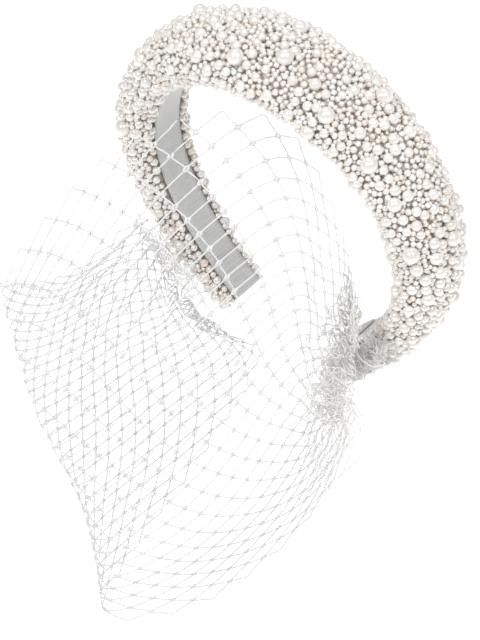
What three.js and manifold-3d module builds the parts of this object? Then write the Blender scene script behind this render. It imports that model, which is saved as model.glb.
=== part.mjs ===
// Padded headband covered in faux pearls, with a gathered net veil in front of the face.
// Millimetres, +Z up, -Y towards the face. The origin is the middle of the ribbon lining at the
// top of the arch, where the band rests on the head.
import * as THREE from 'three';
import { mergeVertices } from 'three/addons/utils/BufferGeometryUtils.js';
import Module from 'manifold-3d';

// ---- Driving dimensions ----
const HALF_WIDTH = 69; // inside half width of the arch at its widest level
const CROWN_RISE = 61; // top of the arch above the widest level
const LEG_DROP = 74; // tips below the widest level
const TIP_HALF_GAP = 28.5; // half the gap between the tips with the band relaxed
const CROWN_SECTION = { width: 48, depth: 27, undercut: 1.28 }; // over the pearls
const TIP_SECTION = { width: 27, depth: 16.5, undercut: 2 };
const TAPER_POWER = 1.3; // how late the section narrows towards the tips
const WIDEST_LEVEL = 0.36; // the section is widest at this share of its depth

const GAP = 0.3; // clearance between neighbouring pieces
const FLEX_AT = 0.41; // place along each half of the arch where the arm starts to flex
const CROWN_STEPS = 16;
const ARM_STEPS = 10;
const DOME_POINTS = 10;

// Each layer lies between two insets, measured inwards from the face over the pearls.
const PEARL_LAYER = { outer: 0.8, inner: 4.6 };
const SATIN_LAYER = { outer: 4.9, inner: 5.4 };
const FOAM_INSET = 5.7;
const FOAM_BASE = 2.8; // height of the foam's flat underside above the lining's inner face
const CORE = { halfWidth: 5.5, low: 1.1, high: 2.5 };
const LINING = { halfWidth: 8.2, low: 0, high: 0.8 };
const TIP_WRAP = { from: 0.905, halfWidth: 8, low: -1.1, high: -GAP, endHeight: 10.5, cloth: 0.8 };

const GATHER = { from: 0.7, to: 0.97, offset: 5.8, height: 7.5, halfWidth: 4.2, halfDepth: 6.2 };
const STITCH = { from: 0.75, to: 0.95, turns: 4, clearance: 0.8, radius: 0.35 };
const VEIL = { from: 0.05, to: 0.935, split: 0.002, thickness: 0.6, lengthSteps: 16, heightSteps: 10 };

// Large pearls: place along the arch (-1 left tip to 1 right tip), angle round the section in
// degrees (90 on top, 180 at the face edge) and radius.
const LARGE_PEARLS = [
  [-0.03, 139, 3.7], [0.05, 113, 3.7], [0.17, 140, 3.6], [0.28, 144, 3.6], [0.21, 68, 3.7],
  [0.36, 146, 3.1], [0.12, 119, 2.6], [0.16, 178, 3.1], [0.23, 126, 2.6], [0.28, 70, 2.8],
  [-0.13, 96, 2.6], [-0.2, 110, 3], [-0.3, 143, 3.1], [-0.12, 152, 2.8], [-0.22, 60, 3.4],
  [0.02, 62, 3.3], [0.46, 153, 3.7], [0.47, 84, 3.3], [0.57, 134, 2.9], [0.7, 112, 2.9],
  [0.62, 70, 3.2], [-0.49, 172, 3.6], [-0.5, 96, 3.3], [-0.6, 130, 2.9], [-0.72, 80, 3],
];

// The veil's shape as nine lines from its top edge to its bottom edge, right gather to left.
const VEIL_LINES = [
  [[62, -28, -84], [56, -28, -103], [47, -28, -123], [37, -24, -150]],
  [[50, -26, -27], [52, -43, -88], [45, -40, -150], [31, -2, -200]],
  [[6, -16, -5], [38, -46, -78], [44, -58, -152], [31, -49, -228]],
  [[-40, -42, -18], [6, -84, -84], [26, -104, -160], [23, -103, -229]],
  [[-40, -97, -20], [-14, -126, -82], [2, -136, -156], [-5, -138, -222]],
  [[-32, -138, -26], [-30, -136, -92], [-26, -120, -164], [-28, -90, -232]],
  [[-50, -97, -66], [-50, -96, -106], [-46, -70, -164], [-32, -36, -222]],
  [[-59, -66, -84], [-57, -54, -108], [-51, -30, -150], [-31, 6, -188]],
  [[-62, -28, -84], [-56, -28, -103], [-47, -28, -123], [-37, -24, -150]],
];

const wasm = await Module();
wasm.setup();

const headband = new THREE.Group();

// ---- Materials ----
const finish = (color, roughness, metalness = 0) => () =>
  new THREE.MeshStandardMaterial({ color, roughness, metalness });
const springSteel = finish(0xc9cbcd, 0.35, 0.9);
const foamFinish = finish(0xf3efe4, 0.95);
const satinFinish = finish(0xf1e4d2, 0.5);
const smallPearlFinish = finish(0xece4d8, 0.25);
const largePearlFinish = finish(0xf4eee6, 0.18);
const grosgrainFinish = finish(0xe6e6e4, 0.85);
const netFinish = finish(0xf6f6f4, 0.6);
const threadFinish = finish(0xffffff, 0.7);

// ---- The arch that every part of the band follows ----
function sampleArch() {
  const samples = [];
  const crownSamples = 300;
  const legSamples = 300;
  for (let i = 0; i <= crownSamples; i += 1) {
    const angle = (Math.PI / 2) * (i / crownSamples);
    samples.push({ x: HALF_WIDTH * Math.sin(angle), z: CROWN_RISE * (Math.cos(angle) - 1) });
  }
  for (let i = 1; i <= legSamples; i += 1) {
    const drop = i / legSamples;
    const curl = (HALF_WIDTH - TIP_HALF_GAP) * drop * drop;
    samples.push({ x: HALF_WIDTH - curl, z: -CROWN_RISE - LEG_DROP * drop });
  }
  samples[0].length = 0;
  for (let i = 1; i < samples.length; i += 1) {
    const step = Math.hypot(samples[i].x - samples[i - 1].x, samples[i].z - samples[i - 1].z);
    samples[i].length = samples[i - 1].length + step;
  }
  return samples;
}

const ARCH = sampleArch();
const HALF_LENGTH = ARCH.at(-1).length;

// Point on the lining's inner face, with the direction pointing away from the head. Places beyond
// the tips carry straight on.
function archPoint(along) {
  const side = along < 0 ? -1 : 1;
  const length = Math.abs(along) * HALF_LENGTH;
  let next = ARCH.findIndex((sample) => sample.length >= length);
  next = next < 1 ? (length > 0 ? ARCH.length - 1 : 1) : next;
  const a = ARCH[next - 1];
  const b = ARCH[next];
  const share = (length - a.length) / (b.length - a.length);
  const size = b.length - a.length;
  return {
    x: side * (a.x + (b.x - a.x) * share),
    z: a.z + (b.z - a.z) * share,
    outX: (side * (a.z - b.z)) / size,
    outZ: (b.x - a.x) / size,
  };
}

function placeOnArch(along, across, outward) {
  const { x, z, outX, outZ } = archPoint(along);
  return new THREE.Vector3(x + outX * outward, across, z + outZ * outward);
}

const taper = (along) => Math.min(Math.abs(along), 1) ** TAPER_POWER;

function sectionAt(along) {
  const size = (key) => THREE.MathUtils.lerp(CROWN_SECTION[key], TIP_SECTION[key], taper(along));
  const depth = size('depth');
  const level = WIDEST_LEVEL * depth;
  return { half: size('width') / 2, level, over: depth - level, under: level * size('undercut') };
}

// Point [across, outward] on the padded section, `inset` inside the face over the pearls.
function domePoint(along, inset, angle) {
  const { half, level, over, under } = sectionAt(along);
  const rise = Math.sin(angle) > 0 ? over : under;
  return [(half - inset) * Math.cos(angle), level + (rise - inset) * Math.sin(angle)];
}

function domeArc(along, inset) {
  const { level, under } = sectionAt(along);
  const start = -Math.asin((level - GAP / 2) / under);
  const sweep = Math.PI - 2 * start;
  const arc = [];
  for (let i = 0; i <= DOME_POINTS; i += 1) {
    arc.push(domePoint(along, inset, start + (sweep * i) / DOME_POINTS));
  }
  return arc;
}

// ---- Mesh building ----
function solidFrom(vertices, triangles) {
  const geometry = new THREE.BufferGeometry();
  const positions = vertices.flatMap((vertex) => [vertex.x, vertex.y, vertex.z]);
  geometry.setAttribute('position', new THREE.Float32BufferAttribute(positions, 3));
  const volume = triangles.reduce((sum, [a, b, c]) => {
    const cross = new THREE.Vector3().crossVectors(vertices[b], vertices[c]);
    return sum + vertices[a].dot(cross);
  }, 0);
  const outward = volume > 0 ? triangles : triangles.map(([a, b, c]) => [a, c, b]);
  geometry.setIndex(outward.flat());
  geometry.computeVertexNormals();
  return geometry;
}

// Closed solid through rings of matching points, with flat ends triangulated from `endOutlines`.
function loft(rings, endOutlines) {
  const count = rings[0].length;
  const triangles = [];
  for (let ring = 0; ring < rings.length - 1; ring += 1) {
    for (let i = 0; i < count; i += 1) {
      const a = ring * count + i;
      const b = ring * count + ((i + 1) % count);
      triangles.push([a, b, b + count], [a, b + count, a + count]);
    }
  }
  const lastRing = (rings.length - 1) * count;
  const cap = (outline) =>
    THREE.ShapeUtils.triangulateShape(outline.map(([x, y]) => new THREE.Vector2(x, y)), []);
  const firstUp = THREE.ShapeUtils.area(endOutlines[0].map(([x, y]) => ({ x, y }))) > 0;
  cap(endOutlines[0]).forEach(([a, b, c]) => triangles.push(firstUp ? [a, c, b] : [a, b, c]));
  cap(endOutlines[1]).forEach(([a, b, c]) =>
    triangles.push((firstUp ? [a, b, c] : [a, c, b]).map((index) => index + lastRing)));
  return solidFrom(rings.flat(), triangles);
}

function sweepAlongArch(outlineAt, from, to, steps) {
  const places = Array.from({ length: steps + 1 }, (_, i) => from + ((to - from) * i) / steps);
  const outlines = places.map(outlineAt);
  const rings = places.map((along, i) =>
    outlines[i].map(([across, outward]) => placeOnArch(along, across, outward)));
  return loft(rings, [outlines[0], outlines.at(-1)]);
}

function toManifold(geometry) {
  const bare = geometry.clone();
  bare.deleteAttribute('normal');
  bare.deleteAttribute('uv');
  const merged = mergeVertices(bare, 1e-4);
  return new wasm.Manifold(new wasm.Mesh({
    numProp: 3,
    vertProperties: new Float32Array(merged.attributes.position.array),
    triVerts: new Uint32Array(merged.index.array),
  }));
}

function toGeometry(manifold) {
  const { vertProperties, triVerts } = manifold.getMesh();
  const geometry = new THREE.BufferGeometry();
  geometry.setAttribute('position', new THREE.BufferAttribute(vertProperties, 3));
  geometry.setIndex(new THREE.BufferAttribute(triVerts, 1));
  geometry.computeVertexNormals();
  return geometry;
}

function addPart(name, geometry, material) {
  const mesh = new THREE.Mesh(geometry, material());
  mesh.name = name;
  headband.add(mesh);
}

// ---- Outlines of the band's layers ----
const shellOutline = ({ outer, inner }) => (along) =>
  [...domeArc(along, outer), ...domeArc(along, inner).reverse()];

function foamOutline(along) {
  const arc = domeArc(along, FOAM_INSET);
  const right = arc[0][0];
  return [[right, FOAM_BASE], ...arc, [-right, FOAM_BASE]];
}

const stripOutline = ({ halfWidth, low, high }) => () =>
  [[halfWidth, low], [halfWidth, high], [-halfWidth, high], [-halfWidth, low]];

// ---- Large pearls, each in a socket of the small-pearl layer ----
function pearlPlace([along, degrees, radius]) {
  const angle = THREE.MathUtils.degToRad(degrees);
  const { half, over, under } = sectionAt(along);
  const rise = Math.sin(angle) > 0 ? over : under;
  const [across, outward] = domePoint(along, SATIN_LAYER.outer, angle);
  const lean = new THREE.Vector2(Math.cos(angle) / half, Math.sin(angle) / rise).normalize();
  const lift = radius + GAP;
  return placeOnArch(along, across + lean.x * lift, outward + lean.y * lift);
}

function pearlBall(pearl, extra = 0) {
  const ball = new THREE.IcosahedronGeometry(pearl[2] + extra, 1);
  const centre = pearlPlace(pearl);
  return ball.translate(centre.x, centre.y, centre.z);
}

function cutSockets(layer, from, to) {
  const inside = LARGE_PEARLS.filter(([along]) => along > from && along < to);
  const socketClearance = 0.6;
  const cut = inside.reduce(
    (solid, pearl) => solid.subtract(toManifold(pearlBall(pearl, socketClearance))),
    toManifold(layer));
  return toGeometry(cut);
}

// ---- The band, in a crown and two arms that flex at the shoulders ----
function addBandStretch(suffix, from, to, steps) {
  const sweep = (outline) => sweepAlongArch(outline, from, to, steps);
  addPart(`spring_core_${suffix}`, sweep(stripOutline(CORE)), springSteel);
  addPart(`foam_pad_${suffix}`, sweep(foamOutline), foamFinish);
  addPart(`satin_cover_${suffix}`, sweep(shellOutline(SATIN_LAYER)), satinFinish);
  addPart(`ribbon_lining_${suffix}`, sweep(stripOutline(LINING)), grosgrainFinish);
  const pearls = cutSockets(sweep(shellOutline(PEARL_LAYER)), from, to);
  addPart(`small_pearls_${suffix}`, pearls, smallPearlFinish);
}

// Ribbon folded over the end of an arm: a tab on the lining and a flap over the cut end.
function tipWrap(side) {
  const past = (distance) => 1 + distance / HALF_LENGTH;
  const { from, low, high, endHeight, cloth, halfWidth } = TIP_WRAP;
  const near = past(GAP);
  const far = past(GAP + cloth);
  const bend = [0, 0.25, 0.5, 0.75].map((share) => from + (1 - from) * share);
  const outline = [
    ...bend.map((along) => [along, low]),
    [far, low],
    [far, endHeight],
    [near, endHeight],
    [near, high],
    ...bend.reverse().map((along) => [along, high]),
  ];
  const ring = (across) => outline.map(([along, outward]) => placeOnArch(side * along, across, outward));
  const flat = outline.map(([along, outward]) => [along * HALF_LENGTH, outward]);
  return loft([ring(-halfWidth), ring(halfWidth)], [flat, flat]);
}

// ---- Veil gathers and the thread that whips each one to the band ----
const gatherCentre = (along) => -(sectionAt(along).half + GATHER.offset);

function gatherOutline(along) {
  const share = (Math.abs(along) - GATHER.from) / (GATHER.to - GATHER.from);
  const fullness = 0.45 + 0.55 * Math.sin(Math.PI * (0.15 + 0.7 * share));
  const sides = 12;
  const outline = [];
  for (let i = 0; i < sides; i += 1) {
    const angle = (2 * Math.PI * i) / sides;
    const fold = fullness * (i % 2 ? 0.9 : 1);
    outline.push([
      gatherCentre(along) + GATHER.halfWidth * fold * Math.cos(angle),
      GATHER.height + GATHER.halfDepth * fold * Math.sin(angle),
    ]);
  }
  return outline;
}

function stitchThread(side) {
  const pointsPerTurn = 8;
  const count = STITCH.turns * pointsPerTurn;
  const points = [];
  for (let i = 0; i <= count; i += 1) {
    const along = side * THREE.MathUtils.lerp(STITCH.from, STITCH.to, i / count);
    const angle = (2 * Math.PI * i) / pointsPerTurn;
    const across = gatherCentre(along) + (GATHER.halfWidth + STITCH.clearance) * Math.cos(angle);
    const outward = GATHER.height + (GATHER.halfDepth + STITCH.clearance) * Math.sin(angle);
    points.push(placeOnArch(along, across, outward));
  }
  const section = new THREE.Shape();
  section.absarc(0, 0, STITCH.radius, 0, 2 * Math.PI);
  return new THREE.ExtrudeGeometry(section, {
    steps: count,
    curveSegments: 3,
    extrudePath: new THREE.CatmullRomCurve3(points, false, 'catmullrom', 0.5),
  });
}

// ---- Veil ----
const veilRows = VEIL_LINES[0].map((_, row) => new THREE.CatmullRomCurve3(
  VEIL_LINES.map((line) => new THREE.Vector3(...line[row])), false, 'catmullrom', 0.5));

function veilPoint(along, down) {
  const line = veilRows.map((row) => row.getPoint(along));
  return new THREE.CatmullRomCurve3(line, false, 'catmullrom', 0.5).getPoint(down);
}

// One half of the net as a closed skin of even thickness. Both faces are the same triangles, moved
// along the corners' normals, so that they stay apart where the net twists or folds.
function veilSkin(from, to) {
  const { thickness, lengthSteps, heightSteps } = VEIL;
  const middle = [];
  for (let i = 0; i <= lengthSteps; i += 1) {
    for (let j = 0; j <= heightSteps; j += 1) {
      middle.push(veilPoint(THREE.MathUtils.lerp(from, to, i / lengthSteps), j / heightSteps));
    }
  }
  const row = heightSteps + 1;
  const sheet = [];
  for (let i = 0; i < lengthSteps; i += 1) {
    for (let j = 0; j < heightSteps; j += 1) {
      const a = i * row + j;
      sheet.push([a, a + row, a + row + 1], [a, a + row + 1, a + 1]);
    }
  }
  const surface = new THREE.BufferGeometry().setFromPoints(middle).setIndex(sheet.flat());
  surface.computeVertexNormals();
  const normals = surface.attributes.normal;
  const shifted = (distance) => middle.map((point, i) =>
    new THREE.Vector3().fromBufferAttribute(normals, i).multiplyScalar(distance).add(point));

  const total = middle.length;
  const triangles = sheet.flatMap(([a, b, c]) => [[a, b, c], [a + total, c + total, b + total]]);
  const addWall = (a, b) => triangles.push([a, b, b + total], [a, b + total, a + total]);
  for (let i = 0; i < lengthSteps; i += 1) {
    addWall((i + 1) * row, i * row);
    addWall(i * row + heightSteps, (i + 1) * row + heightSteps);
  }
  for (let j = 0; j < heightSteps; j += 1) {
    addWall(j, j + 1);
    addWall(lengthSteps * row + j + 1, lengthSteps * row + j);
  }
  return solidFrom([...shifted(thickness / 2), ...shifted(-thickness / 2)], triangles);
}

// ---- Assembly ----
const splitGap = GAP / 2 / HALF_LENGTH;
addBandStretch('crown', -FLEX_AT + splitGap, FLEX_AT - splitGap, CROWN_STEPS);
addBandStretch('right', FLEX_AT + splitGap, 1, ARM_STEPS);
addBandStretch('left', -1, -FLEX_AT - splitGap, ARM_STEPS);

LARGE_PEARLS.forEach((pearl, i) => {
  addPart(`large_pearl_${String(i + 1).padStart(2, '0')}`, pearlBall(pearl), largePearlFinish);
});

for (const [name, side] of [['right', 1], ['left', -1]]) {
  const gatherSteps = 10;
  const gather = sweepAlongArch(gatherOutline, side * GATHER.from, side * GATHER.to, gatherSteps);
  addPart(`tip_wrap_${name}`, tipWrap(side), grosgrainFinish);
  addPart(`veil_gather_${name}`, gather, netFinish);
  addPart(`gather_stitching_${name}`, stitchThread(side), threadFinish);
}

addPart('veil_net_right', veilSkin(VEIL.from, 0.5 - VEIL.split / 2), netFinish);
addPart('veil_net_left', veilSkin(0.5 + VEIL.split / 2, VEIL.to), netFinish);

export default headband;
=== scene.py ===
import math

import bmesh
import bpy
import numpy as np
from mathutils import Matrix, Vector


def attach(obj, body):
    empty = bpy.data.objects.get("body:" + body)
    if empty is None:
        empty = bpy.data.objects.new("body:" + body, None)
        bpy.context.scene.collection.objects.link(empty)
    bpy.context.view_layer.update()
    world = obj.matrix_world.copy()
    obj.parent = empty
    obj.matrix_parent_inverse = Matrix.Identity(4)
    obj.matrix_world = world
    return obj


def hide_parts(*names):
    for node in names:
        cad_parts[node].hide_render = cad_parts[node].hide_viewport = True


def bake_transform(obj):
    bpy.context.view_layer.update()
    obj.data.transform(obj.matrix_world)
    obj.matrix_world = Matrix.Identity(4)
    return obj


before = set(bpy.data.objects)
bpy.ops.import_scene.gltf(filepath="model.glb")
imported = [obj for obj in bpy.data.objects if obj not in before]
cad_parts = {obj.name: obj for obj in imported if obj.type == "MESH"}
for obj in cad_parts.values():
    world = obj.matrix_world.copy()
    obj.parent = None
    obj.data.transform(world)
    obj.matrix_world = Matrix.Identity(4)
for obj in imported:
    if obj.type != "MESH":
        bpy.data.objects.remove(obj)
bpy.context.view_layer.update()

# Padded headband covered in faux pearls, with a gathered net veil in front of the face.
# Lengths are millimetres up to mesh_object(), which makes every mesh in metres.
MM = 0.001
rng = np.random.default_rng(11)

# ---- Camera ----
CAMERA_AZIMUTH = math.radians(42)
CAMERA_ELEVATION = math.radians(41)
CAMERA_ROLL = math.radians(-4)
CAMERA_DISTANCE = 0.95
CAMERA_LENS = 122.0
WORLD_STRENGTH = 0.32
KEY_POWER = 5.4
KEY_SIDEWAYS = 27  # degrees to each side of the camera
KEY_UPWARDS = 20
KEY_DISTANCE = 1.2
KEY_SIZE = (0.45, 0.45)
TOP_POWER = 0.5 * KEY_POWER
FLOOR_LEVEL = -0.62
FLOOR_SIZE = 80
FLOOR_GLOW = 0.75
PEARL_METALLIC = 0.16
AIM_POINT = Vector((0, 0, -0.061))
AIM_RIGHT = math.radians(1.212)  # how far right of the view's middle the aim point is seen
AIM_UP = math.radians(3.376)

# ---- The band, as in the CAD model ----
HALF_WIDTH = 69
CROWN_RISE = 61
LEG_DROP = 74
TIP_HALF_GAP = 28.5
CROWN_SECTION = {"width": 48, "depth": 27, "undercut": 1.28}
TIP_SECTION = {"width": 27, "depth": 16.5, "undercut": 2}
TAPER_POWER = 1.3
WIDEST_LEVEL = 0.36
SATIN_OUTER = 4.9
SATIN_INNER = 5.4
FOAM_INSET = 5.7
FOAM_BASE = 2.8
LINING_HALF_WIDTH = 8.2
LINING_THICKNESS = 0.8
WRAP_FROM = 0.905
WRAP_HALF_WIDTH = 8
WRAP_END_HEIGHT = 10.5
WRAP_HALF_THICKNESS = 0.4
WRAP_TURN_RADIUS = 1.2
WRAP_CLEARANCE = 0.7  # of the ribbon's middle, under the lining's face and past the arm's end
WRAP_EDGE_CURL = 0.25
RIB_PITCH = 1.25
RIB_DEPTH = 0.22

# Large pearls: place along the arch (-1 left tip to 1 right tip), angle round the section in
# degrees (90 on top, 180 at the face edge) and radius.
LARGE_PEARLS = [
    (-0.03, 139, 3.7), (0.05, 113, 3.7), (0.17, 140, 3.6), (0.28, 144, 3.6), (0.21, 68, 3.7),
    (0.36, 146, 3.1), (0.12, 119, 2.6), (0.16, 178, 3.1), (0.23, 126, 2.6), (0.28, 70, 2.8),
    (-0.13, 96, 2.6), (-0.2, 110, 3), (-0.3, 143, 3.1), (-0.12, 152, 2.8), (-0.22, 60, 3.4),
    (0.02, 62, 3.3), (0.46, 153, 3.7), (0.47, 84, 3.3), (0.57, 134, 2.9), (0.7, 112, 2.9),
    (0.62, 70, 3.2), (-0.49, 172, 3.6), (-0.5, 96, 3.3), (-0.6, 130, 2.9), (-0.72, 80, 3),
]

# Filler pearls: radius range, how high their tops stand over the satin, tries, and the place along
# each half of the arch where they start.
FILLER_PEARLS = [
    {"kind": "medium", "radius": (2.4, 3.0), "top": (5.0, 6.2), "tries": 420, "beyond": 0.42},
    {"kind": "medium", "radius": (1.9, 2.6), "top": (4.6, 5.7), "tries": 1400, "beyond": 0},
    {"kind": "small", "radius": (1.15, 1.65), "top": (3.4, 4.6), "tries": 36000, "beyond": 0},
    {"kind": "small", "radius": (0.95, 1.2), "top": (3.2, 4.3), "tries": 60000, "beyond": 0},
    {"kind": "small", "radius": (0.9, 1.1), "top": (1.9, 2.8), "tries": 40000, "beyond": 0},
]
PEARL_OVERLAP = 0.86
EDGE_TRIES = 12000  # for the pearls between the lining and the satin's edge
EDGE_RADIUS = (1.5, 2.1)
END_TRIES = 260  # for the pearls on the cut end of each arm
END_RADIUS = (0.95, 1.4)
END_INSET = 3.6  # how far inside the padding's outline they stay
CELL_SIZE = 6.5  # of the boxes that neighbours are looked for in, over the widest reach of two pearls

# ---- The veil, as in the CAD model: lines from its top edge to its bottom edge, right to left ----
VEIL_LINES = [
    [(62, -28, -84), (56, -28, -103), (47, -28, -123), (37, -24, -150)],
    [(50, -26, -27), (52, -43, -88), (45, -40, -150), (31, -2, -200)],
    [(6, -16, -5), (38, -46, -78), (44, -58, -152), (31, -49, -228)],
    [(-40, -42, -18), (6, -84, -84), (26, -104, -160), (23, -103, -229)],
    [(-40, -97, -20), (-14, -126, -82), (2, -136, -156), (-5, -138, -222)],
    [(-32, -138, -26), (-30, -136, -92), (-26, -120, -164), (-28, -90, -232)],
    [(-50, -97, -66), (-50, -96, -106), (-46, -70, -164), (-32, -36, -222)],
    [(-59, -66, -84), (-57, -54, -108), (-51, -30, -150), (-31, 6, -188)],
    [(-62, -28, -84), (-56, -28, -103), (-47, -28, -123), (-37, -24, -150)],
]
NET_COLUMNS = 26  # diamonds along the net
NET_ROWS = 20  # diamonds across it
NET_START = 0.006  # where the net leaves each gather, as a share of the veil's lines
BUNCHED_MORE = 114  # length of net bunched into a gather at its fuller corner
BUNCHED_LESS = 11
BUNCH_REACH = 25  # how far from a gather the bunched length is spread
NET_FLAT_HEIGHT = 228.6  # the stock 9 inch width that this net is sold in
THREAD_RADIUS = 0.34
GATHER_THREAD_RADIUS = 0.11
KNOT_HALF_LENGTH = 0.1  # share of half a diamond
KNOT_HALF_HEIGHT = 0.13
PLEATS = 9
PLEAT_FADE = 30  # how far from a gather the pleats open out
PLEATS_RIGHT = 0.75  # share of the pleat depth at each gather. The diamonds close for the rest.
PLEATS_LEFT = 0.5
CRIMP_RIGHT = 1.8  # depth of the folds across the bunched length next to each gather
CRIMP_LEFT = 0.3
KNOT_THICKNESS = 1.8  # radius of a knot's ties over the thread's
CRIMP_REACH = 22
RUFFLE_COLUMNS = 4
# Each layer of the ruffle: its reach along the net, how far it stands off, and its phase.
RUFFLE_LAYERS = [(0.8, 8, 2.2), (1.3, 13, 0.7), (1.1, -9, 4.1)]
RUFFLE_THREAD_RADIUS = 0.2

GATHER_STRANDS = {1: (150, 170), -1: (50, 0)}  # right and left: core, and over the pearls
GATHER_FROM = 0.7
GATHER_TO = 0.97
GATHER_OFFSET = 5.8
GATHER_HEIGHT = 7.5
GATHER_HALF_WIDTH = 4.2
GATHER_HALF_DEPTH = 6.2


# ---- Mesh building ----
def mesh_object(name, points, faces, material, tone=None):
    mesh = bpy.data.meshes.new(name)
    mesh.from_pydata((np.asarray(points) * MM).tolist(), [], [list(face) for face in faces])
    mesh.polygons.foreach_set("use_smooth", [True] * len(mesh.polygons))
    if tone is not None:
        attribute = mesh.attributes.new("tone", "FLOAT", "POINT")
        attribute.data.foreach_set("value", np.asarray(tone, np.float32))
    mesh.update()
    piece = bpy.data.objects.new(name, mesh)
    bpy.context.scene.collection.objects.link(piece)
    mesh.materials.append(material)
    return piece


def grid_faces(rows, columns, closed=False):
    """Quads between the points of a grid, row by row. closed joins the last column to the first."""
    wide = columns if closed else columns - 1
    row, column = np.meshgrid(np.arange(rows - 1), np.arange(wide), indexing="ij")
    a = row * columns + column
    b = row * columns + (column + 1) % columns
    return np.stack([a, b, b + columns, a + columns], -1).reshape(-1, 4)


def loft(rings):
    """Closed solid through rings of matching points, shape (rings, points, 3), with flat ends."""
    count = rings.shape[1]
    faces = grid_faces(len(rings), count, closed=True).tolist()
    faces.append(list(range(count - 1, -1, -1)))
    faces.append([(len(rings) - 1) * count + i for i in range(count)])
    return rings.reshape(-1, 3), faces


def unit(vectors):
    return vectors / np.maximum(np.linalg.norm(vectors, axis=-1, keepdims=True), 1e-9)


def tubes(paths, references, radius, sides=5):
    """Closed tubes round paths of equal point count, shape (paths, points, 3).

    references are directions that aren't along the paths, which keep the tubes from twisting.
    """
    count, steps = paths.shape[:2]
    ahead = unit(np.gradient(paths, axis=1))
    across = unit(np.cross(ahead, references))
    up = np.cross(across, ahead)
    radius = np.broadcast_to(np.asarray(radius, float), (count, steps))[..., None, None]
    turn = np.arange(sides) * 2 * math.pi / sides
    ring = np.cos(turn)[:, None] * across[:, :, None] + np.sin(turn)[:, None] * up[:, :, None]
    points = (paths[:, :, None] + radius * ring).reshape(-1, 3)
    one = grid_faces(steps, sides, closed=True)
    starts = np.arange(count)[:, None, None] * steps * sides
    faces = (one[None] + starts).reshape(-1, 4).tolist()
    for start in range(0, count * steps * sides, steps * sides):
        faces.append([start + i for i in range(sides - 1, -1, -1)])
        faces.append([start + (steps - 1) * sides + i for i in range(sides)])
    return points, faces


def joined(parts):
    """One point array and face list from several (points, faces)."""
    points = []
    faces = []
    start = 0
    for part_points, part_faces in parts:
        points.append(part_points)
        faces.extend([[i + start for i in face] for face in part_faces])
        start += len(part_points)
    return np.concatenate(points), faces


def blend_value(low, high, share):
    return low + (high - low) * share


# ---- Node materials ----
class Nodes:
    """A material's node tree, with short calls to add and join nodes."""

    def __init__(self, name):
        self.material = bpy.data.materials.new(name)
        self.material.use_nodes = True
        self.tree = self.material.node_tree
        self.shader = self.tree.nodes["Principled BSDF"]

    def add(self, kind, inputs=None, **settings):
        node = self.tree.nodes.new(kind)
        for key, value in settings.items():
            setattr(node, key, value)
        for key, value in (inputs or {}).items():
            self.set(node, key, value)
        return node

    def set(self, node, key, value):
        if hasattr(value, "links"):
            self.tree.links.new(value, node.inputs[key])
        else:
            node.inputs[key].default_value = value

    def shade(self, **values):
        names = {
            "colour": "Base Color", "roughness": "Roughness", "metallic": "Metallic",
            "specular": "Specular IOR Level", "coat": "Coat Weight",
            "coat_roughness": "Coat Roughness", "sheen": "Sheen Weight", "normal": "Normal",
            "glow": "Emission Color", "glow_strength": "Emission Strength",
        }
        for key, value in values.items():
            self.set(self.shader, names[key], value)

    def place(self):
        return self.add("ShaderNodeTexCoord").outputs["Object"]

    def noise(self, scale, detail=2.0, vector=None):
        return self.add("ShaderNodeTexNoise", {
            "Vector": vector or self.place(), "Scale": scale, "Detail": detail,
        }).outputs["Fac"]

    def ramp(self, value, stops):
        node = self.add("ShaderNodeValToRGB", {"Fac": value})
        ramp = node.color_ramp
        while len(ramp.elements) < len(stops):
            ramp.elements.new(0.5)
        for element, (position, colour) in zip(ramp.elements, stops):
            element.position = position
            element.color = (*colour, 1)
        return node.outputs["Color"]

    def mix(self, factor, first, second, blend_type="MIX"):
        node = self.add("ShaderNodeMix", data_type="RGBA", blend_type=blend_type)
        self.set(node, 0, factor)
        self.set(node, 6, first)
        self.set(node, 7, second)
        return node.outputs[2]

    def math(self, operation, first, second=0.0):
        node = self.add("ShaderNodeMath", operation=operation)
        self.set(node, 0, first)
        self.set(node, 1, second)
        return node.outputs[0]

    def spread(self, value, low, high):
        return self.add("ShaderNodeMapRange", {
            "Value": value, "To Min": low, "To Max": high,
        }).outputs["Result"]

    def bump(self, height, strength, distance):
        return self.add("ShaderNodeBump", {
            "Height": height, "Strength": strength, "Distance": distance,
        }).outputs["Normal"]


def pearl_material(name, stops, roughness):
    """Faux pearl: a tone for each bead, faint clouding in the lacquer, and a gloss coat."""
    nodes = Nodes(name)
    tone = nodes.add("ShaderNodeAttribute", attribute_name="tone").outputs["Fac"]
    colour = nodes.ramp(tone, stops)
    cloud = nodes.spread(nodes.noise(420, 3), 0.94, 1.03)
    colour = nodes.mix(1.0, colour, cloud, "MULTIPLY")
    nodes.shade(
        colour=colour,
        roughness=nodes.spread(nodes.noise(900, 2), roughness, roughness + 0.1),
        metallic=PEARL_METALLIC,
        coat=1.0,
        coat_roughness=0.04,
        specular=0.7,
        normal=nodes.bump(nodes.noise(1500, 2), 0.12, 0.0002),
    )
    return nodes.material


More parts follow.
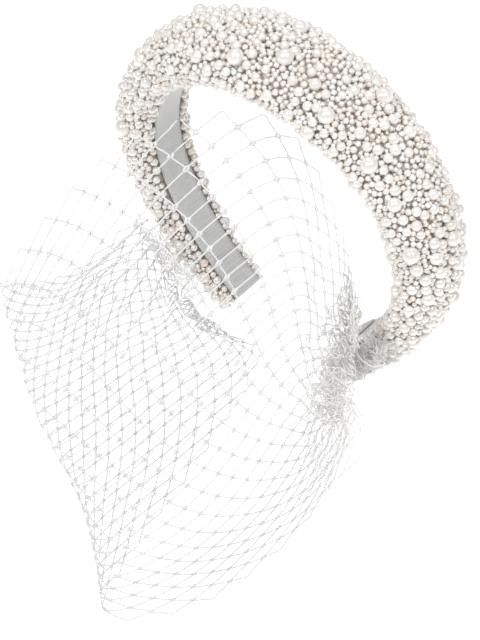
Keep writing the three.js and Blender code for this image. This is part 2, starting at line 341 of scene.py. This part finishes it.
def woven_material(name, colour, darker, pitch, roughness, sheen, depth):
    """Cloth with crossing threads of one pitch in metres."""
    nodes = Nodes(name)
    place = nodes.place()
    turns = 2 * math.pi / pitch / 20
    one = nodes.add("ShaderNodeTexWave", {
        "Vector": place, "Scale": turns, "Distortion": 0.4,
    }, bands_direction="Z").outputs["Fac"]
    other = nodes.add("ShaderNodeTexWave", {
        "Vector": place, "Scale": turns, "Distortion": 0.4,
    }, bands_direction="Y").outputs["Fac"]
    weave = nodes.math("MULTIPLY", one, other)
    grain = nodes.noise(260, 4)
    shade = nodes.mix(nodes.spread(weave, 0.0, 1.0), (*darker, 1), (*colour, 1))
    shade = nodes.mix(1.0, shade, nodes.spread(grain, 0.9, 1.06), "MULTIPLY")
    nodes.shade(
        colour=shade,
        roughness=nodes.spread(grain, roughness - 0.08, roughness + 0.08),
        sheen=sheen,
        normal=nodes.bump(weave, 0.35, depth),
    )
    return nodes.material


def net_material(name, low, high):
    """Stiff nylon thread: twist along it, slightly uneven whiteness."""
    nodes = Nodes(name)
    fine = nodes.noise(700, 2)
    broad = nodes.noise(45, 2)
    colour = nodes.ramp(nodes.math("ADD", nodes.math("MULTIPLY", fine, 0.5),
                                   nodes.math("MULTIPLY", broad, 0.5)),
                        [(0.3, low), (0.7, high)])
    nodes.shade(
        colour=colour,
        roughness=nodes.spread(fine, 0.4, 0.6),
        sheen=0.15,
        normal=nodes.bump(nodes.noise(2600, 2), 0.3, 0.0001),
    )
    return nodes.material


def steel_material():
    nodes = Nodes("spring_steel_strip")
    grain = nodes.noise(300, 4)
    nodes.shade(
        colour=nodes.ramp(grain, [(0.2, (0.52, 0.53, 0.55)), (0.8, (0.68, 0.69, 0.70))]),
        metallic=1.0,
        roughness=nodes.spread(grain, 0.25, 0.42),
    )
    return nodes.material


def foam_material():
    nodes = Nodes("foam_ivory")
    cells = nodes.noise(1400, 3)
    nodes.shade(
        colour=nodes.ramp(cells, [(0.3, (0.70, 0.64, 0.53)), (0.7, (0.86, 0.80, 0.69))]),
        roughness=0.95,
        normal=nodes.bump(cells, 0.5, 0.0004),
    )
    return nodes.material


PEARL_IVORY = pearl_material("pearl_ivory_small", [
    (0.0, (0.90, 0.81, 0.73)), (0.3, (0.94, 0.88, 0.82)),
    (0.6, (0.95, 0.91, 0.87)), (1.0, (0.95, 0.94, 0.92)),
], 0.16)
PEARL_WHITE = pearl_material("pearl_white_large", [
    (0.0, (0.92, 0.87, 0.81)), (0.5, (0.94, 0.90, 0.86)), (1.0, (0.96, 0.94, 0.91)),
], 0.12)
# The satin's light champagne colour is partly its own and partly painted warm bounce light, which lifts the
# shade in the crevices between the pearls.
SATIN_WITH_PAINTED_BOUNCE = woven_material("satin_champagne_painted_bounce", (0.98, 0.93, 0.88), (0.95, 0.87, 0.80), 0.0004, 0.42, 0.3,
                       0.00005)
GROSGRAIN = woven_material("grosgrain_white", (0.86, 0.86, 0.85), (0.66, 0.66, 0.66), 0.0006, 0.75,
                           0.25, 0.00008)
NET = net_material("net_thread_white", (0.78, 0.78, 0.79), (0.92, 0.92, 0.92))
# A lighter, warmer copy of the same net thread: painted light that lifts the shade inside the dense
# gathers.
GATHERED_NET_PAINTED_LIGHT = net_material("net_thread_gathered_painted_light", (0.90, 0.88, 0.86), (0.95, 0.94, 0.92))
STEEL = steel_material()
FOAM = foam_material()


# ---- The arch that every part of the band follows ----
def arch_table():
    turn = np.linspace(0, math.pi / 2, 301)
    drop = np.linspace(0, 1, 301)[1:]
    x = np.concatenate([HALF_WIDTH * np.sin(turn),
                        HALF_WIDTH - (HALF_WIDTH - TIP_HALF_GAP) * drop ** 2])
    z = np.concatenate([CROWN_RISE * (np.cos(turn) - 1), -CROWN_RISE - LEG_DROP * drop])
    length = np.concatenate([[0], np.cumsum(np.hypot(np.diff(x), np.diff(z)))])
    return length, x, z, -np.gradient(z, length), np.gradient(x, length)


ARCH_LENGTH, ARCH_X, ARCH_Z, ARCH_OUT_X, ARCH_OUT_Z = arch_table()
HALF_LENGTH = ARCH_LENGTH[-1]


def place_on_arch(along, across, outward):
    """Points in the row frame. Places beyond the tips carry straight on."""
    along, across, outward = np.broadcast_arrays(*(np.asarray(v, float)
                                                   for v in (along, across, outward)))
    side = np.where(along < 0, -1.0, 1.0)
    reach = np.abs(along) * HALF_LENGTH
    past = np.maximum(reach - HALF_LENGTH, 0)
    x, z, out_x, out_z = (np.interp(reach, ARCH_LENGTH, table)
                          for table in (ARCH_X, ARCH_Z, ARCH_OUT_X, ARCH_OUT_Z))
    size = np.hypot(out_x, out_z)
    out_x, out_z = out_x / size, out_z / size
    return np.stack([side * (x + out_x * outward + out_z * past), across,
                     z + out_z * outward - out_x * past], -1)


def section(along):
    share = np.minimum(np.abs(along), 1) ** TAPER_POWER
    size = {key: blend_value(CROWN_SECTION[key], TIP_SECTION[key], share)
            for key in CROWN_SECTION}
    level = WIDEST_LEVEL * size["depth"]
    return size["width"] / 2, level, size["depth"] - level, level * size["undercut"]


def dome(along, angle, inset=0.0, lift=0.0):
    """(across, outward) on the padded section, inset inside the face, then lifted off it."""
    half, level, over, under = section(along)
    rise = np.where(np.sin(angle) > 0, over, under)
    lean = unit(np.stack(np.broadcast_arrays(np.cos(angle) / half, np.sin(angle) / rise), -1))
    across = (half - inset) * np.cos(angle) + lift * lean[..., 0]
    outward = level + (rise - inset) * np.sin(angle) + lift * lean[..., 1]
    return across, outward


def dome_start(along):
    _, level, _, under = section(along)
    return -np.arcsin(np.clip((level - 0.15) / under, -1, 1))


# ---- Pearls ----
def pearl_point(along, angle, lift):
    return place_on_arch(along, *dome(along, angle, SATIN_OUTER, lift))


def clear_of_lining(across, outward, radius):
    beside = np.abs(across) > LINING_HALF_WIDTH + 0.9 * radius
    return beside | (outward > LINING_THICKNESS + radius)


def pack_pearls():
    """Seeded random packing over the satin, large pearls first.

    Returns rows of centre, radius, place along the arch and kind.
    """
    pearls = []
    cells = {}

    def cell_of(centre):
        return tuple(int(math.floor(value / CELL_SIZE)) for value in centre)

    def fits(centre, radius):
        home = cell_of(centre)
        for dx in (-1, 0, 1):
            for dy in (-1, 0, 1):
                for dz in (-1, 0, 1):
                    for x, y, z, other in cells.get((home[0] + dx, home[1] + dy, home[2] + dz), ()):
                        reach = (radius + other) * PEARL_OVERLAP
                        gap = (x - centre[0]) ** 2 + (y - centre[1]) ** 2 + (z - centre[2]) ** 2
                        if gap < reach * reach:
                            return False
        return True

    def keep(centre, radius, along, kind):
        cells.setdefault(cell_of(centre), []).append((*centre, radius))
        pearls.append((*centre, radius, along, kind))

    for along, degrees, radius in LARGE_PEARLS:
        centre = pearl_point(along, math.radians(degrees), radius + 0.3)
        keep(tuple(float(v) for v in centre), radius, along, "large")
    along = rng.uniform(-0.97, 0.97, EDGE_TRIES)
    radius = rng.uniform(*EDGE_RADIUS, EDGE_TRIES)
    widest = dome(along, dome_start(along), SATIN_OUTER)[0]
    across = LINING_HALF_WIDTH + radius + rng.uniform(0, 1, EDGE_TRIES) * (widest - LINING_HALF_WIDTH)
    across = across * rng.choice([-1, 1], EDGE_TRIES)
    centres = place_on_arch(along, across, FOAM_BASE - radius - 0.1)
    for i in range(EDGE_TRIES):
        centre = tuple(centres[i].tolist())
        if fits(centre, radius[i]):
            keep(centre, float(radius[i]), float(along[i]), "small")
    for kind in FILLER_PEARLS:
        tries = kind["tries"]
        along = rng.uniform(-1.004, 1.004, tries)
        start = dome_start(along)
        angle = start + rng.uniform(0, 1, tries) * (math.pi - 2 * start)
        radius = rng.uniform(*kind["radius"], tries)
        top = rng.uniform(*kind["top"], tries)
        lift = np.maximum(top - radius, radius + 0.05)
        narrow = section(along)[0] / section(0.0)[0]
        across, outward = dome(along, angle, SATIN_OUTER, lift)
        wanted = (rng.uniform(0, 1, tries) < narrow) & clear_of_lining(across, outward, radius)
        wanted = wanted & (np.abs(along) >= kind["beyond"])
        centres = place_on_arch(along, across, outward)
        for i in np.nonzero(wanted)[0]:
            centre = tuple(centres[i].tolist())
            if fits(centre, radius[i]):
                keep(centre, float(radius[i]), float(along[i]), kind["kind"])
    for side in (-1, 1):
        for _ in range(END_TRIES):
            radius = rng.uniform(*END_RADIUS)
            angle = rng.uniform(0.05, math.pi - 0.05)
            share = rng.uniform(0.3, 1)
            half, level, over, _ = section(1.0)
            across = (half - END_INSET) * math.cos(angle) * share
            outward = level + (over - END_INSET) * math.sin(angle) * share
            if outward < WRAP_END_HEIGHT + 1.2 and abs(across) < WRAP_HALF_WIDTH + 1:
                continue
            centre = place_on_arch(side * (1 + (radius + 0.3) / HALF_LENGTH), across, outward)
            centre = tuple(centre.tolist())
            if fits(centre, radius):
                keep(centre, radius, side, "small")
    return pearls


def ball(detail):
    shape = bmesh.new()
    bmesh.ops.create_icosphere(shape, subdivisions=detail, radius=1)
    points = np.array([vertex.co[:] for vertex in shape.verts])
    faces = np.array([[vertex.index for vertex in face.verts] for face in shape.faces])
    shape.free()
    return points, faces


def pearl_mesh(name, pearls, detail, material):
    points, faces = ball(detail)
    centres = np.array([pearl[:3] for pearl in pearls])
    radii = np.array([pearl[3] for pearl in pearls])
    tones = rng.uniform(0, 1, len(pearls))
    all_points = centres[:, None] + points[None] * radii[:, None, None]
    starts = np.arange(len(pearls))[:, None, None] * len(points)
    all_faces = (faces[None] + starts).reshape(-1, 3)
    return mesh_object(name, all_points.reshape(-1, 3), all_faces, material,
                       tone=np.repeat(tones, len(points)))


# ---- Layers of the band ----
def dome_ring(along, inset, count):
    start = dome_start(along)
    angle = np.linspace(start, math.pi - start, count)
    return dome(along, angle, inset)


def half_places(side, count):
    return side * np.linspace(0, 1, count)


def foam_half(name, side):
    rings = []
    for along in half_places(side, 60):
        across, outward = dome_ring(along, FOAM_INSET, 25)
        base = np.linspace(across[-1], across[0], 7)
        across = np.concatenate([across, base])
        outward = np.concatenate([np.maximum(outward, FOAM_BASE), np.full(7, FOAM_BASE)])
        rings.append(place_on_arch(along, across, outward))
    return mesh_object(name, *loft(np.array(rings)), FOAM)


def satin_half(name, side):
    rings = []
    for along in half_places(side, 60):
        outer = place_on_arch(along, *dome_ring(along, SATIN_OUTER, 33))
        inner = place_on_arch(along, *dome_ring(along, SATIN_INNER, 33))
        rings.append(np.concatenate([outer, inner[::-1]]))
    return mesh_object(name, *loft(np.array(rings)), SATIN_WITH_PAINTED_BOUNCE)


def ribbed(distance):
    return RIB_DEPTH * (0.5 - 0.5 * np.cos(2 * math.pi * distance / RIB_PITCH)) ** 0.6


def lining_half(name, side):
    steps = int(HALF_LENGTH / RIB_PITCH * 5)
    across = np.linspace(-LINING_HALF_WIDTH, LINING_HALF_WIDTH, 9)
    rings = []
    for along in half_places(side, steps):
        low = np.full(9, float(ribbed(abs(along) * HALF_LENGTH)))
        high = np.full(9, LINING_THICKNESS)
        rings.append(place_on_arch(along, np.concatenate([across, across[::-1]]),
                                   np.concatenate([low, high])))
    return mesh_object(name, *loft(np.array(rings)), GROSGRAIN)


def tip_wrap(name, side):
    """Ribbon folded over the end of an arm, from the lining up over the cut end."""
    end = HALF_LENGTH + WRAP_CLEARANCE
    turn_from = end - WRAP_TURN_RADIUS
    corner = np.linspace(0, math.pi / 2, 9)[1:]
    path = [(WRAP_FROM * HALF_LENGTH, -WRAP_CLEARANCE), (turn_from, -WRAP_CLEARANCE)]
    path += [(turn_from + WRAP_TURN_RADIUS * math.sin(a),
              -WRAP_CLEARANCE + WRAP_TURN_RADIUS * (1 - math.cos(a))) for a in corner]
    path.append((end, WRAP_END_HEIGHT))
    path = np.array(path)
    distance = np.concatenate([[0], np.cumsum(np.hypot(*np.diff(path, axis=0).T))])
    at = np.arange(0, distance[-1], RIB_PITCH / 6)
    line = np.stack([np.interp(at, distance, path[:, k]) for k in (0, 1)], -1)
    ahead = unit(np.gradient(line, axis=0))
    out = np.stack([ahead[:, 1], -ahead[:, 0]], -1)
    across = np.linspace(-WRAP_HALF_WIDTH, WRAP_HALF_WIDTH, 9)
    rings = []
    for point, normal, where in zip(line, out, at):
        outer = point + normal * (WRAP_HALF_THICKNESS - float(ribbed(where)))
        inner = point - normal * WRAP_HALF_THICKNESS
        curl = WRAP_EDGE_CURL * (np.abs(across) / WRAP_HALF_WIDTH) ** 6
        lower = [place_on_arch(side * (outer[0] - normal[0] * c) / HALF_LENGTH, y,
                               outer[1] - normal[1] * c) for y, c in zip(across, curl)]
        upper = [place_on_arch(side * inner[0] / HALF_LENGTH, y, inner[1]) for y in across[::-1]]
        rings.append(np.array(lower + upper))
    return mesh_object(name, *loft(np.array(rings)), GROSGRAIN)


# ---- Veil ----
def spline_weights(value, count):
    """Uniform Catmull-Rom: the four control indices (one before 0 and past the end) and weights."""
    place = np.clip(value, 0, 1) * (count - 1)
    index = np.clip(place.astype(int), 0, count - 2)
    t = place - index
    weights = np.stack([-t + 2 * t ** 2 - t ** 3, 2 - 5 * t ** 2 + 3 * t ** 3,
                        t + 4 * t ** 2 - 3 * t ** 3, -t ** 2 + t ** 3], -1) / 2
    return index, weights


def extended(control):
    return np.concatenate([2 * control[:1] - control[1:2], control,
                           2 * control[-1:] - control[-2:-1]])


VEIL_CONTROL = extended(np.array(VEIL_LINES, float))


def veil_surface(along, down):
    """Points of the veil for shares along it, right gather to left, and down it."""
    shape = np.shape(along)
    along, down = np.ravel(along), np.ravel(down)
    index, weights = spline_weights(along, len(VEIL_LINES))
    lines = sum(weights[:, k, None, None] * VEIL_CONTROL[index + k] for k in range(4))
    lines = np.concatenate([2 * lines[:, :1] - lines[:, 1:2], lines,
                            2 * lines[:, -1:] - lines[:, -2:-1]], 1)
    index, weights = spline_weights(down, 4)
    each = np.arange(len(along))
    points = sum(weights[:, k, None] * lines[each, index + k] for k in range(4))
    return points.reshape(*shape, 3)


def veil_columns():
    """Table from net column (0 to NET_COLUMNS) and share down to share along the veil's lines.

    The net is bunched into both gathers, more at the right gather's top corner and at the left
    gather's bottom corner, so its columns lean.
    """
    downs = np.linspace(0, 1, 41)
    places = np.linspace(NET_START, 1 - NET_START, 240)
    columns = np.linspace(0, NET_COLUMNS, 131)
    table = []
    distances = []
    for down in downs:
        line = veil_surface(places, np.full(len(places), down))
        run = np.concatenate([[0], np.cumsum(np.linalg.norm(np.diff(line, axis=0), axis=1))])
        total = run[-1]
        right = blend_value(BUNCHED_MORE, BUNCHED_LESS, down)
        left = blend_value(BUNCHED_LESS, BUNCHED_MORE, down)
        flat = (run + right * (1 - np.exp(-run / BUNCH_REACH))
                + left * (np.exp(-(total - run) / BUNCH_REACH) - math.exp(-total / BUNCH_REACH)))
        flat *= NET_COLUMNS / flat[-1]
        at = np.interp(columns, flat, places)
        table.append(at)
        distances.append(np.interp(at, places, run))
    return downs, columns, np.array(table), np.array(distances)


VEIL_DOWNS, VEIL_COLUMNS, VEIL_TABLE, VEIL_DISTANCE = veil_columns()


def from_table(table, column, down):
    row = np.clip(down, 0, 1) * (len(VEIL_DOWNS) - 1)
    col = np.clip(column / NET_COLUMNS, 0, 1) * (len(VEIL_COLUMNS) - 1)
    r = np.clip(row.astype(int), 0, len(VEIL_DOWNS) - 2)
    c = np.clip(col.astype(int), 0, len(VEIL_COLUMNS) - 2)
    fr, fc = row - r, col - c
    return ((table[r, c] * (1 - fc) + table[r, c + 1] * fc) * (1 - fr)
            + (table[r + 1, c] * (1 - fc) + table[r + 1, c + 1] * fc) * fr)


def net_height(along):
    """Length down the veil's surface, from its top edge to its bottom edge."""
    downs = np.linspace(0, 1, 200)
    points = veil_surface(np.full(len(downs), along), downs)
    return float(np.linalg.norm(np.diff(points, axis=0), axis=1).sum())


HEIGHT_PLACES = np.linspace(NET_START, 1 - NET_START, 61)
NET_HEIGHTS = np.array([net_height(along) for along in HEIGHT_PLACES])


def pleat_depth(along):
    """How deep the pleats are for the net to keep its flat height where it is drawn in."""
    height = np.interp(along, HEIGHT_PLACES, NET_HEIGHTS)
    return height / PLEATS / 4 * np.sqrt(np.maximum((NET_FLAT_HEIGHT / height) ** 2 - 1, 0))


def net_point(column, row, phase_shift=0.0):
    """Points and normals of the net, with pleats that fan out of the gathers."""
    down = row / (2 * NET_ROWS)
    along = from_table(VEIL_TABLE, column, down)
    distance = from_table(VEIL_DISTANCE, column, down)
    total = from_table(VEIL_DISTANCE, np.full(np.shape(column), float(NET_COLUMNS)), down)
    step = 0.004
    point = veil_surface(along, down)
    ahead = (veil_surface(np.clip(along + step, 0, 1), down)
             - veil_surface(np.clip(along - step, 0, 1), down))
    below = (veil_surface(along, np.clip(down + step, 0, 1))
             - veil_surface(along, np.clip(down - step, 0, 1)))
    normal = unit(np.cross(ahead, below))
    depth = pleat_depth(along)
    wave = 0
    gathers = ((distance, 0.4, PLEATS_RIGHT, CRIMP_RIGHT),
               (total - distance, 1.9, PLEATS_LEFT, CRIMP_LEFT))
    for from_gather, phase, pleated, crimp in gathers:
        near = pleated * np.exp(-from_gather / PLEAT_FADE)
        shift = 0.5 * np.sin(from_gather / 13 + phase) + 0.35 * np.sin(down * 11 + phase)
        wave = wave + depth * near * np.sin(2 * math.pi * PLEATS * down + shift + phase + phase_shift)
        fold = crimp * np.exp(-from_gather / CRIMP_REACH)
        wave = wave + fold * np.sin(5.2 * column + 0.6 * row + phase)
    ripple = 0.7 * np.sin(column * 1.1 + row * 0.23) + 0.5 * np.sin(column * 0.47 - row * 0.31)
    return point + normal * (wave + ripple)[..., None], normal


def net_half(name, first, last):
    """Wavy threads run along the net. Neighbours touch at each knot, tied twice."""
    middle = (0.36, 0.64)
    steps = [KNOT_HALF_LENGTH, *middle, 1 - KNOT_HALF_LENGTH]
    heights = [KNOT_HALF_HEIGHT, blend_value(KNOT_HALF_HEIGHT, 1 - KNOT_HALF_HEIGHT, 0.33),
               blend_value(KNOT_HALF_HEIGHT, 1 - KNOT_HALF_HEIGHT, 0.67), 1 - KNOT_HALF_HEIGHT]
    halves = range(2 * first, 2 * last)
    column = np.array([(i + s) / 2 for i in halves for s in steps])
    paths = []
    normals = []
    for j in range(2 * NET_ROWS):
        rise = [h if (i + j) % 2 == 0 else 1 - h for i in halves for h in heights]
        row = j + np.array(rise)
        if j == 0:
            row = np.where(row < 0.3, -0.02, row)
        if j == 2 * NET_ROWS - 1:
            row = np.where(row > j + 0.7, 2 * NET_ROWS + 0.02, row)
        points, normal = net_point(column, row)
        paths.append(points)
        normals.append(normal)
    threads = tubes(np.array(paths), np.array(normals), THREAD_RADIUS, 6)
    ties = []
    tie_normals = []
    for j in range(1, 2 * NET_ROWS):
        for i in range(2 * first, 2 * last + 1):
            if (i + j) % 2:
                continue
            for shift in (-KNOT_HALF_LENGTH, KNOT_HALF_LENGTH):
                at = (i + shift * 0.9) / 2
                if not first <= at <= last:
                    continue
                low = j - KNOT_HALF_HEIGHT * 1.1
                high = j + KNOT_HALF_HEIGHT * 1.1
                points, normal = net_point(np.full(3, at), np.array([low, j, high]))
                ties.append(points)
                tie_normals.append(normal)
    knots = tubes(np.array(ties), np.array(tie_normals), THREAD_RADIUS * KNOT_THICKNESS, 6)
    return mesh_object(name, *joined([threads, knots]), NET)


def ruffle(reach, swell, shift):
    """Bunched length of net beside the right gather, standing off the hanging net in curls."""
    column = np.linspace(0, RUFFLE_COLUMNS, 10 * RUFFLE_COLUMNS + 1)
    paths = []
    normals = []
    for j in range(2 * NET_ROWS):
        zig = np.abs(((column * 2 + j) % 2) - 1)
        points, normal = net_point(column * reach, j + zig, shift)
        lift = swell * np.sin(math.pi * column / RUFFLE_COLUMNS) * (0.55 + 0.45 * math.cos(1.7 * j + shift))
        curl = 1.6 * np.sin(column * 4.1 + j * 1.3 + shift)
        paths.append(points + normal * (lift + curl)[..., None])
        normals.append(normal)
    return tubes(np.array(paths), np.array(normals), RUFFLE_THREAD_RADIUS, 5)


# ---- Gathers ----
def gather_axis(along):
    return -(section(along)[0] + GATHER_OFFSET)


def gather_core(count, steps):
    """Strands along the arm, inside the gather's outline."""
    share = np.linspace(0, 1, steps)[None]
    first = rng.uniform(0, 0.35, (count, 1))
    last = rng.uniform(0.6, 1, (count, 1))
    place = GATHER_FROM + (GATHER_TO - GATHER_FROM) * blend_value(first, last, share)
    ring = rng.uniform(0.25, 1, (count, 1)) ** 0.6
    turn = rng.uniform(0, 2 * math.pi, (count, 1))
    turn = turn + share * rng.uniform(-2, 2, (count, 1))
    turn = turn + 0.6 * np.sin(share * rng.uniform(10, 26, (count, 1)) + turn)
    full = 0.5 + 0.5 * np.sin(math.pi * (0.12 + 0.76 * (place - GATHER_FROM)
                                         / (GATHER_TO - GATHER_FROM)))
    across = gather_axis(place) + GATHER_HALF_WIDTH * full * ring * np.cos(turn)
    outward = GATHER_HEIGHT + GATHER_HALF_DEPTH * full * ring * np.sin(turn)
    return place, across, outward


def gather_wraps(count, steps):
    """Strands drawn over the pearls of the face edge."""
    share = np.linspace(0, 1, steps)[None]
    start = rng.uniform(0.78, 0.985, (count, 1))
    lean = rng.uniform(-0.08, 0.05, (count, 1))
    weave = 0.010 * np.sin(share * rng.uniform(6, 14, (count, 1)) + start * 90)
    place = np.clip(start + lean * share + weave, 0.72, 1.0)
    low = math.radians(190)
    high = np.radians(rng.uniform(118, 158, (count, 1)))
    angle = blend_value(low, high, share) + 0.04 * np.sin(share * 15 + start * 70)
    lift = SATIN_OUTER + 0.1 + rng.uniform(-0.4, 0.9, (count, 1))
    lift = lift + 0.3 * np.sin(share * rng.uniform(9, 20, (count, 1)) + start * 50)
    return place, *dome(place, angle, SATIN_OUTER, lift)


def gather_strands(name, side):
    """The bunched end of the net: its core, what is drawn over the pearls, and a ruffle of net."""
    core, wraps = GATHER_STRANDS[side]
    parts = []
    for place, across, outward in (gather_core(core, 34), gather_wraps(wraps, 34)):
        paths = place_on_arch(side * place, across, outward)
        reference = np.broadcast_to(np.array([0.36, 0.93, 0.1]), paths.shape)
        parts.append(tubes(paths, reference, GATHER_THREAD_RADIUS, 5))
    if side > 0:
        parts += [ruffle(*layer) for layer in RUFFLE_LAYERS]
    # The gathers' strands take the lighter copy of the thread, with painted light against their own shade.
    return mesh_object(name, *joined(parts), GATHERED_NET_PAINTED_LIGHT)


# ---- Building ----
def build_camera():
    right, up, back = view_axes()
    ahead = -back
    tilted_right = right * math.cos(CAMERA_ROLL) + up * math.sin(CAMERA_ROLL)
    tilted_up = up * math.cos(CAMERA_ROLL) - right * math.sin(CAMERA_ROLL)
    aim = (ahead - tilted_right * math.tan(AIM_RIGHT) - tilted_up * math.tan(AIM_UP)).normalized()
    side = (tilted_right - aim * tilted_right.dot(aim)).normalized()
    top = side.cross(aim)
    data = bpy.data.cameras.new("camera")
    data.lens = CAMERA_LENS
    data.clip_start = 0.01
    camera = bpy.data.objects.new("camera", data)
    axes = Matrix((side, top, -aim)).transposed()
    camera.matrix_world = Matrix.Translation(AIM_POINT - ahead * CAMERA_DISTANCE) @ axes.to_4x4()
    bpy.context.scene.collection.objects.link(camera)
    bpy.context.scene.camera = camera


def view_axes():
    """The camera's right, up and back directions as it looks at the aim point."""
    azimuth, elevation = CAMERA_AZIMUTH, CAMERA_ELEVATION
    right = Vector((math.cos(azimuth), math.sin(azimuth), 0))
    up = Vector((-math.sin(azimuth) * math.sin(elevation),
                 math.cos(azimuth) * math.sin(elevation), math.cos(elevation)))
    return right, up, right.cross(up)


def area_light(name, sideways, upwards, distance, size, power):
    """A softbox this many degrees to the side of the camera and above it, seen from the object."""
    right, up, back = view_axes()
    sideways, upwards = math.radians(sideways), math.radians(upwards)
    away = (back * math.cos(sideways) * math.cos(upwards) + right * math.sin(sideways)
            * math.cos(upwards) + up * math.sin(upwards))
    data = bpy.data.lights.new(name, "AREA")
    data.shape = "RECTANGLE"
    data.size, data.size_y = size
    data.energy = power
    light = bpy.data.objects.new(name, data)
    light.location = AIM_POINT + away * distance
    light.rotation_euler = away.to_track_quat("Z", "Y").to_euler()
    bpy.context.scene.collection.objects.link(light)


def build_studio():
    world = bpy.data.worlds.new("studio")
    world.use_nodes = True
    background = world.node_tree.nodes["Background"]
    background.inputs["Color"].default_value = (1, 1, 1, 1)
    background.inputs["Strength"].default_value = WORLD_STRENGTH
    bpy.context.scene.world = world
    for word, side in (("left", -1), ("right", 1)):
        area_light(f"softbox_{word}", side * KEY_SIDEWAYS, KEY_UPWARDS, KEY_DISTANCE, KEY_SIZE,
                   KEY_POWER)
    area_light("softbox_top", 0, 75, 1.4, (0.9, 0.6), TOP_POWER)

    nodes = Nodes("floor_pale")
    grain = nodes.noise(3, 2)
    nodes.shade(colour=nodes.ramp(grain, [(0.0, (0.93, 0.93, 0.93)), (1.0, (0.95, 0.95, 0.95))]),
                roughness=0.9, glow=(1, 1, 1, 1), glow_strength=FLOOR_GLOW)
    bpy.ops.mesh.primitive_plane_add(size=FLOOR_SIZE, location=(0, 0, FLOOR_LEVEL))
    floor = bpy.context.object
    floor.name = "floor"
    floor.data.materials.append(nodes.material)
    bpy.context.scene.view_settings.view_transform = "Standard"


def build_pearls():
    """Each half of the band's pearls, in pieces of their own."""
    pearls = pack_pearls()
    pieces = []
    for side, word in ((1, "right"), (-1, "left")):
        mine = [pearl for pearl in pearls if (pearl[4] >= 0) == (side > 0)]
        fill = [pearl for pearl in mine if pearl[5] == "small"]
        medium = [pearl for pearl in mine if pearl[5] == "medium"]
        large = [pearl for pearl in mine if pearl[5] == "large"]
        small = pearl_mesh(f"pearls_small_{word}", fill, 2, PEARL_IVORY)
        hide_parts("small_pearls_crown", f"small_pearls_{word}")
        middling = pearl_mesh(f"pearls_medium_{word}", medium, 3, PEARL_WHITE)
        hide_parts("small_pearls_crown", f"small_pearls_{word}")
        big = pearl_mesh(f"pearls_large_{word}", large, 4, PEARL_WHITE)
        names = [f"large_pearl_{i + 1:02d}" for i, pearl in enumerate(LARGE_PEARLS)
                 if (pearl[0] >= 0) == (side > 0)]
        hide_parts(*names)
        pieces += [(small, side), (middling, side), (big, side)]
    return pieces


def build_layers():
    pieces = []
    for side, word in ((1, "right"), (-1, "left")):
        foam = foam_half(f"foam_padding_{word}", side)
        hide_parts("foam_pad_crown", f"foam_pad_{word}")
        satin = satin_half(f"satin_wrap_{word}", side)
        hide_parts("satin_cover_crown", f"satin_cover_{word}")
        lining = lining_half(f"grosgrain_lining_{word}", side)
        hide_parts("ribbon_lining_crown", f"ribbon_lining_{word}")
        pieces += [(foam, side), (satin, side), (lining, side)]
        wrap = tip_wrap(f"grosgrain_tip_{word}", side)
        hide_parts(f"tip_wrap_{word}")
        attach(wrap, f"{word}_arm")
    return pieces


def blend_to_arms(pieces):
    for piece, side in pieces:
        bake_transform(piece)


def build_veil():
    """Both halves of the net and their gathers, each gather on its arm."""
    for side, word, first, last in ((1, "right", 0, NET_COLUMNS // 2),
                                    (-1, "left", NET_COLUMNS // 2, NET_COLUMNS)):
        gather = gather_strands(f"net_gather_{word}", side)
        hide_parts(f"veil_gather_{word}")
        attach(gather, f"{word}_arm")
        net = net_half(f"net_veil_{word}", first, last)
        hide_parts(f"veil_net_{word}")
        # This net's threads have less, and the cut's own area would be refused as far from
        # theirs.
        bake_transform(net)


def finish_cad_nodes():
    for name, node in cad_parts.items():
        if name.startswith("spring_core"):
            material = STEEL
        elif name.startswith("gather_stitching"):
            material = NET
        else:
            continue
        node.data.materials.clear()
        node.data.materials.append(material)


build_camera()
build_studio()
blend_to_arms(build_pearls() + build_layers())
build_veil()
finish_cad_nodes()
